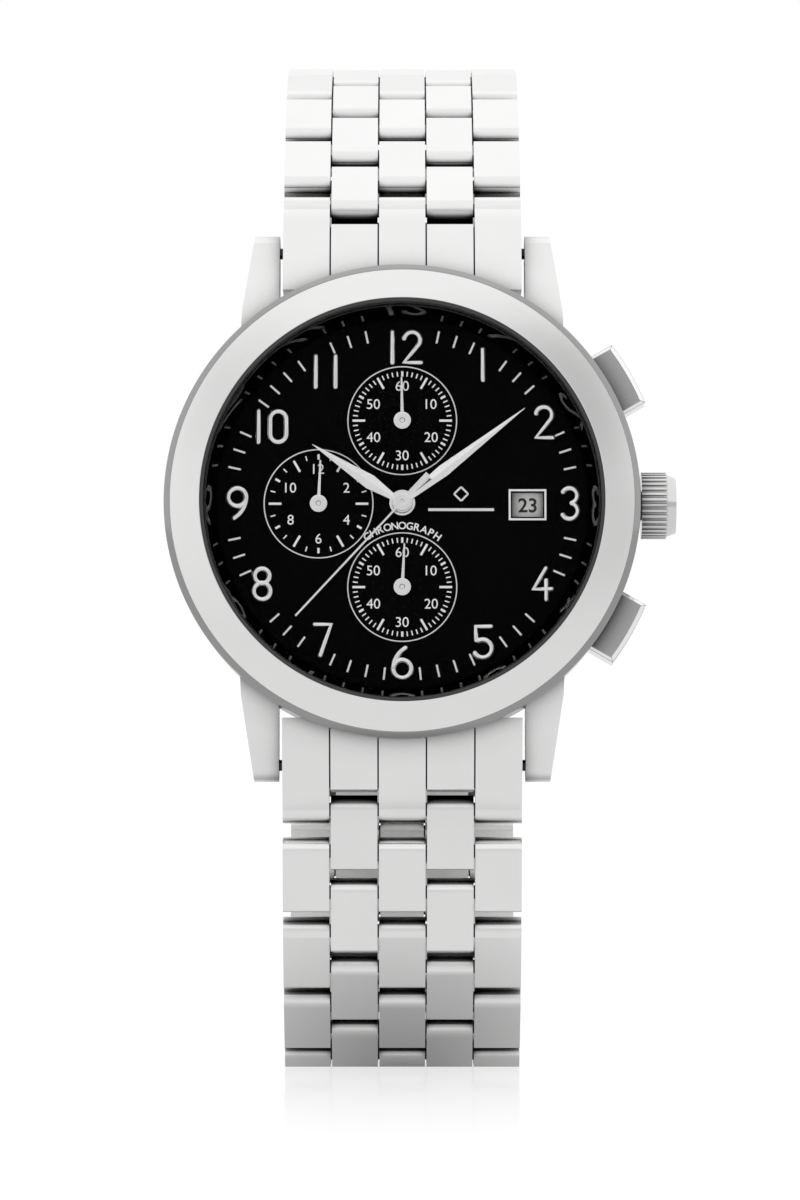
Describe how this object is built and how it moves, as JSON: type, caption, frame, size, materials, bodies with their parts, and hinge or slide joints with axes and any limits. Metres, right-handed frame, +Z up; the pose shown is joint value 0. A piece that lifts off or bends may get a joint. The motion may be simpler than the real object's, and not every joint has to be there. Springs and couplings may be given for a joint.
{
  "type": "chronograph wristwatch",
  "caption": "Round steel chronograph wristwatch with a black dial, fluted crown, rectangular pushers, jointed link bracelet and folding clasp.",
  "frame": {"origin": "on the flat outer face of the first bracelet half-row that rests on the surface, in the middle of its length and of the bracelet width", "axes": "+Z up, +X towards the crown at three o'clock, the dial faces -Y and leans back a little, the clasp is at +Y"},
  "size_m": [0.0452, 0.056, 0.0922],
  "materials": {
    "satin_steel": "satin brushed",
    "polished_steel": "mirror polished",
    "bright_metal": "bright",
    "dial_black": "gloss black lacquer",
    "sapphire": "clear polished",
    "rubber": "matte",
    "date_white": "matte",
    "brass": "fine grained",
    "holder_plastic": "matte",
    "board_green": "gloss",
    "copper_coil": "enamelled wire"
  },
  "bodies": {
    "case": {"applied_numerals": "bright_metal", "bezel": "polished_steel", "button_cell": "satin_steel", "case_back": "satin_steel", "case_back_gasket": "rubber", "case_back_screws": "satin_steel", "case_middle": "satin_steel", "circuit_board": "board_green", "crown_seal": "rubber", "crown_tube": "satin_steel", "crystal": "sapphire", "crystal_gasket": "rubber", "dial": "dial_black", "inner_flange": "polished_steel", "lower_end_link": "satin_steel", "movement_holder": "holder_plastic", "movement_plate": "brass", "spring_bars": "polished_steel", "stepper_motors": "copper_coil", "train_bridge": "brass", "upper_end_link": "satin_steel"},
    "hour_hand": {"hour_hand": "bright_metal", "hour_wheel": "brass"},
    "minute_hand": {"minute_hand": "bright_metal", "cannon_pinion": "brass"},
    "minute_wheel": {"minute_wheel": "brass"},
    "second_hand": {"second_hand": "bright_metal"},
    "minute_counter": {"minute_counter_hand": "bright_metal"},
    "hour_counter": {"hour_counter_hand": "bright_metal"},
    "seconds_counter": {"seconds_counter_hand": "bright_metal"},
    "date_ring": {"date_ring": "date_white"},
    "crown_slider": {"setting_lever": "brass"},
    "crown": {"crown": "polished_steel", "winding_stem": "satin_steel"},
    "upper_pusher": {"upper_pusher": "polished_steel"},
    "lower_pusher": {"lower_pusher": "polished_steel"},
    "clasp_end_blade": {"clasp_end_blade": "satin_steel", "end_blade_pins": "satin_steel"},
    "clasp_middle_blade": {"clasp_middle_blade": "satin_steel"},
    "clasp_cover": {"clasp_cover": "satin_steel", "cover_hinge_pin": "satin_steel"},
    "left_clasp_button": {"left_clasp_button": "polished_steel"},
    "right_clasp_button": {"right_clasp_button": "polished_steel"},
    "upper_row_1": {"upper_row_1": "satin_steel"},
    "upper_row_2": {"upper_row_2": "satin_steel"},
    "upper_row_3": {"upper_row_3": "satin_steel"},
    "upper_row_4": {"upper_row_4": "satin_steel"},
    "upper_row_5": {"upper_row_5": "satin_steel"},
    "upper_row_6": {"upper_row_6": "satin_steel"},
    "upper_row_7": {"upper_row_7": "satin_steel"},
    "upper_row_8": {"upper_row_8": "satin_steel"},
    "lower_row_1": {"lower_row_1": "satin_steel"},
    "lower_row_2": {"lower_row_2": "satin_steel"},
    "lower_row_3": {"lower_row_3": "satin_steel"},
    "lower_row_4": {"lower_row_4": "satin_steel"},
    "lower_row_5": {"lower_row_5": "satin_steel"},
    "lower_row_6": {"lower_row_6": "satin_steel"},
    "lower_row_7": {"lower_row_7": "satin_steel"},
    "lower_row_8": {"lower_row_8": "satin_steel"},
    "lower_row_9": {"lower_row_9": "satin_steel"}
  },
  "joints": [
    {"name": "minute_hand_turn", "type": "hinge", "parent": "case", "child": "minute_hand", "pos_m": [0, -0.01516, 0.05084], "axis": [0, 0.9954, -0.0958], "continuous": true},
    {"name": "minute_wheel_turn", "type": "hinge", "parent": "case", "child": "minute_wheel", "pos_m": [0.00212, -0.01296, 0.05276], "axis": [0, 0.9954, -0.0958], "continuous": true},
    {"name": "hour_hand_turn", "type": "hinge", "parent": "case", "child": "hour_hand", "pos_m": [0, -0.01466, 0.05079], "axis": [0, 0.9954, -0.0958], "continuous": true},
    {"name": "second_hand_turn", "type": "hinge", "parent": "case", "child": "second_hand", "pos_m": [0, -0.01575, 0.0509], "axis": [0, 0.9954, -0.0958], "continuous": true},
    {"name": "minute_counter_turn", "type": "hinge", "parent": "case", "child": "minute_counter", "pos_m": [0, -0.01355, 0.05812], "axis": [0, 0.9954, -0.0958], "continuous": true},
    {"name": "hour_counter_turn", "type": "hinge", "parent": "case", "child": "hour_counter", "pos_m": [-0.0074, -0.01426, 0.05075], "axis": [0, 0.9954, -0.0958], "continuous": true},
    {"name": "seconds_counter_turn", "type": "hinge", "parent": "case", "child": "seconds_counter", "pos_m": [0, -0.01497, 0.04339], "axis": [0, 0.9954, -0.0958], "continuous": true},
    {"name": "date_ring_turn", "type": "hinge", "parent": "case", "child": "date_ring", "pos_m": [0, -0.01326, 0.05066], "axis": [0, 0.9954, -0.0958], "continuous": true},
    {"name": "crown_pull", "type": "slide", "parent": "case", "child": "crown_slider", "axis": [1, 0, 0], "range_m": [0, 0.0014]},
    {"name": "crown_turn", "type": "hinge", "parent": "crown_slider", "child": "crown", "pos_m": [0.022, -0.01237, 0.05057], "axis": [1, 0, 0], "continuous": true},
    {"name": "upper_pusher_press", "type": "slide", "parent": "case", "child": "upper_pusher", "axis": [-0.866, -0.0479, -0.4977], "range_m": [0, 0.0008], "stiffness_N_per_m": 1000, "springref_m": -0.001},
    {"name": "lower_pusher_press", "type": "slide", "parent": "case", "child": "lower_pusher", "axis": [-0.866, 0.0479, 0.4977], "range_m": [0, 0.0008], "stiffness_N_per_m": 1000, "springref_m": -0.001},
    {"name": "upper_row_1_hinge", "type": "hinge", "parent": "case", "child": "upper_row_1", "pos_m": [0, -0.00761, 0.07704], "axis": [1, 0, 0], "range_deg": [0, 20]},
    {"name": "upper_row_2_hinge", "type": "hinge", "parent": "upper_row_1", "child": "upper_row_2", "pos_m": [0, -0.00198, 0.08184], "axis": [1, 0, 0], "range_deg": [0, 20]},
    {"name": "upper_row_3_hinge", "type": "hinge", "parent": "upper_row_2", "child": "upper_row_3", "pos_m": [0, 0.00395, 0.08623], "axis": [1, 0, 0], "range_deg": [0, 20]},
    {"name": "upper_row_4_hinge", "type": "hinge", "parent": "upper_row_3", "child": "upper_row_4", "pos_m": [0, 0.01073, 0.08918], "axis": [1, 0, 0], "range_deg": [0, 20]},
    {"name": "upper_row_5_hinge", "type": "hinge", "parent": "upper_row_4", "child": "upper_row_5", "pos_m": [0, 0.01796, 0.09072], "axis": [1, 0, 0], "range_deg": [0, 20]},
    {"name": "upper_row_6_hinge", "type": "hinge", "parent": "upper_row_5", "child": "upper_row_6", "pos_m": [0, 0.02512, 0.08913], "axis": [1, 0, 0], "range_deg": [0, 20]},
    {"name": "upper_row_7_hinge", "type": "hinge", "parent": "upper_row_6", "child": "upper_row_7", "pos_m": [0, 0.03058, 0.08422], "axis": [1, 0, 0], "range_deg": [0, 20]},
    {"name": "upper_row_8_hinge", "type": "hinge", "parent": "upper_row_7", "child": "upper_row_8", "pos_m": [0, 0.0334, 0.07741], "axis": [1, 0, 0], "range_deg": [0, 20]},
    {"name": "lower_row_1_hinge", "type": "hinge", "parent": "case", "child": "lower_row_1", "pos_m": [0, -0.01275, 0.02368], "axis": [-1, 0, 0], "range_deg": [0, 20]},
    {"name": "lower_row_2_hinge", "type": "hinge", "parent": "lower_row_1", "child": "lower_row_2", "pos_m": [0, -0.0121, 0.01633], "axis": [-1, 0, 0], "range_deg": [0, 20]},
    {"name": "lower_row_3_hinge", "type": "hinge", "parent": "lower_row_2", "child": "lower_row_3", "pos_m": [0, -0.00916, 0.00956], "axis": [-1, 0, 0], "range_deg": [0, 20]},
    {"name": "lower_row_4_hinge", "type": "hinge", "parent": "lower_row_3", "child": "lower_row_4", "pos_m": [0, -0.00451, 0.00382], "axis": [-1, 0, 0], "range_deg": [0, 20]},
    {"name": "lower_row_5_hinge", "type": "hinge", "parent": "lower_row_4", "child": "lower_row_5", "pos_m": [0, 0.00185, 0.00125], "axis": [-1, 0, 0], "range_deg": [0, 20]},
    {"name": "lower_row_6_hinge", "type": "hinge", "parent": "lower_row_5", "child": "lower_row_6", "pos_m": [0, 0.00925, 0.00125], "axis": [-1, 0, 0], "range_deg": [0, 20]},
    {"name": "lower_row_7_hinge", "type": "hinge", "parent": "lower_row_6", "child": "lower_row_7", "pos_m": [0, 0.01653, 0.0024], "axis": [-1, 0, 0], "range_deg": [0, 20]},
    {"name": "lower_row_8_hinge", "type": "hinge", "parent": "lower_row_7", "child": "lower_row_8", "pos_m": [0, 0.02269, 0.0064], "axis": [-1, 0, 0], "range_deg": [0, 20]},
    {"name": "lower_row_9_hinge", "type": "hinge", "parent": "lower_row_8", "child": "lower_row_9", "pos_m": [0, 0.02625, 0.01283], "axis": [-1, 0, 0], "range_deg": [0, 20]},
    {"name": "end_blade_hinge", "type": "hinge", "parent": "lower_row_9", "child": "clasp_end_blade", "pos_m": [0, 0.02728, 0.02014], "axis": [-1, 0, 0], "range_deg": [0, 20]},
    {"name": "middle_blade_hinge", "type": "hinge", "parent": "clasp_end_blade", "child": "clasp_middle_blade", "pos_m": [0, 0.03277, 0.06169], "axis": [1, 0, 0], "range_deg": [0, 150]},
    {"name": "cover_hinge", "type": "hinge", "parent": "clasp_middle_blade", "child": "clasp_cover", "pos_m": [0, 0.0282, 0.02455], "axis": [-1, 0, 0], "range_deg": [0, 150]},
    {"name": "left_clasp_button_press", "type": "slide", "parent": "clasp_cover", "child": "left_clasp_button", "axis": [1, 0, 0], "range_m": [0, 0.0007], "stiffness_N_per_m": 800, "springref_m": -0.001},
    {"name": "right_clasp_button_press", "type": "slide", "parent": "clasp_cover", "child": "right_clasp_button", "axis": [-1, 0, 0], "range_m": [0, 0.0007], "stiffness_N_per_m": 800, "springref_m": -0.001}
  ],
  "couplings": [
    {"joint": "minute_wheel_turn", "follows": "minute_hand_turn", "ratio": -0.33333},
    {"joint": "hour_hand_turn", "follows": "minute_hand_turn", "ratio": 0.083333},
    {"joint": "second_hand_turn", "follows": "minute_hand_turn", "ratio": 60},
    {"joint": "hour_counter_turn", "follows": "minute_counter_turn", "ratio": 0.083333},
    {"joint": "seconds_counter_turn", "follows": "minute_counter_turn", "ratio": 60},
    {"joint": "upper_row_2_hinge", "follows": "upper_row_1_hinge", "ratio": 1},
    {"joint": "upper_row_3_hinge", "follows": "upper_row_1_hinge", "ratio": 1},
    {"joint": "upper_row_4_hinge", "follows": "upper_row_1_hinge", "ratio": 1},
    {"joint": "upper_row_5_hinge", "follows": "upper_row_1_hinge", "ratio": 1},
    {"joint": "upper_row_6_hinge", "follows": "upper_row_1_hinge", "ratio": 1},
    {"joint": "upper_row_7_hinge", "follows": "upper_row_1_hinge", "ratio": 1},
    {"joint": "upper_row_8_hinge", "follows": "upper_row_1_hinge", "ratio": 1},
    {"joint": "lower_row_2_hinge", "follows": "lower_row_1_hinge", "ratio": 1},
    {"joint": "lower_row_3_hinge", "follows": "lower_row_1_hinge", "ratio": 1},
    {"joint": "lower_row_4_hinge", "follows": "lower_row_1_hinge", "ratio": 1},
    {"joint": "lower_row_5_hinge", "follows": "lower_row_1_hinge", "ratio": 1},
    {"joint": "lower_row_6_hinge", "follows": "lower_row_1_hinge", "ratio": 1},
    {"joint": "lower_row_7_hinge", "follows": "lower_row_1_hinge", "ratio": 1},
    {"joint": "lower_row_8_hinge", "follows": "lower_row_1_hinge", "ratio": 1},
    {"joint": "lower_row_9_hinge", "follows": "lower_row_1_hinge", "ratio": 1},
    {"joint": "end_blade_hinge", "follows": "lower_row_1_hinge", "ratio": 1},
    {"joint": "cover_hinge", "follows": "middle_blade_hinge", "ratio": 1}
  ]
}
